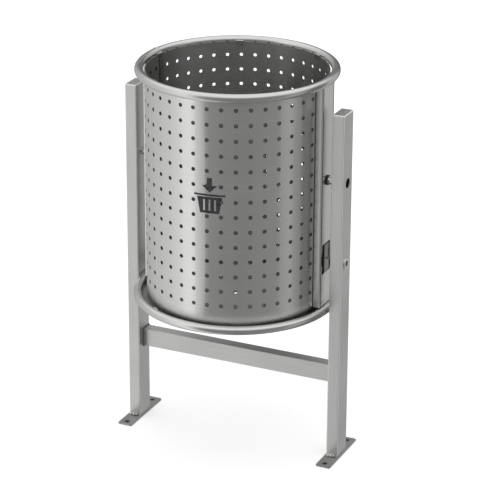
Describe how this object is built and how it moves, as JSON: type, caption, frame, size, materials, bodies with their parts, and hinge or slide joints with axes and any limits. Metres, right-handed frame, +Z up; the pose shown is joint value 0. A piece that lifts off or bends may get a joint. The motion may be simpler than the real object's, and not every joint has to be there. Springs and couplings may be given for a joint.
{
  "type": "litter bin",
  "caption": "Round perforated steel litter bin hung on two pivots between floor-fixed posts, with rolled rings, side channels, a crossbar and a key lock.",
  "frame": {"origin": "on the ground under the bin's axis, midway between the posts", "axes": "+Z up, X from post to post, -Y the front that carries the pictogram; the lock is on the +X post"},
  "size_m": [0.476, 0.4132, 0.7911],
  "materials": {
    "post_steel": "lengthwise brushed stainless tube",
    "plate_steel": "flat stainless plate, lightly brushed",
    "weld_steel": "bright pickled weld bead",
    "shell_steel": "stainless sheet brushed around the bin",
    "ring_steel": "satin polished stainless tube",
    "channel_steel": "folded stainless sheet",
    "inside_steel": "plain stainless sheet",
    "bolt_steel": "stainless fastener",
    "lock_chrome": "polished lock barrel",
    "lock_core_metal": "satin lock core",
    "bush_plastic": "black polyamide",
    "film_print": "matt dark grey print"
  },
  "bodies": {
    "frame": {"left_post": "post_steel", "right_post": "post_steel", "left_post_cap": "plate_steel", "right_post_cap": "plate_steel", "crossbar": "post_steel", "left_foot_plate": "plate_steel", "right_foot_plate": "plate_steel", "left_foot_weld": "weld_steel", "right_foot_weld": "weld_steel", "crossbar_weld": "weld_steel", "left_pivot_bolt": "bolt_steel", "right_pivot_bolt": "bolt_steel", "left_spacer": "bolt_steel", "right_spacer": "bolt_steel", "left_washer": "bolt_steel", "right_washer": "bolt_steel", "left_nut": "bolt_steel", "right_nut": "bolt_steel", "lock_housing": "lock_chrome", "lock_nut": "bolt_steel", "latch_guide": "bolt_steel"},
    "bin": {"shell": "shell_steel", "top_ring": "ring_steel", "bottom_ring": "ring_steel", "base_plate": "inside_steel", "left_channel": "channel_steel", "right_channel": "channel_steel", "left_bush": "bush_plastic", "right_bush": "bush_plastic", "keeper_plate": "inside_steel", "rim_tabs": "weld_steel", "foot_tacks": "weld_steel", "seam_strip": "inside_steel", "pictogram": "film_print"},
    "lock_core": {"lock_core": "lock_core_metal"},
    "latch_bolt": {"latch_bolt": "bolt_steel"}
  },
  "joints": [
    {"name": "bin_tilt", "type": "hinge", "parent": "frame", "child": "bin", "pos_m": [0, 0, 0.5825], "axis": [1, 0, 0], "range_deg": [-160, 160]},
    {"name": "lock_turn", "type": "hinge", "parent": "frame", "child": "lock_core", "pos_m": [0.235, 0, 0.4155], "axis": [1, 0, 0], "range_deg": [0, 90]},
    {"name": "latch_slide", "type": "slide", "parent": "frame", "child": "latch_bolt", "axis": [-1, 0, 0], "range_m": [0, 0.0095]}
  ],
  "couplings": [
    {"joint": "latch_slide", "follows": "lock_turn", "m_per_rad": 0.006047}
  ]
}
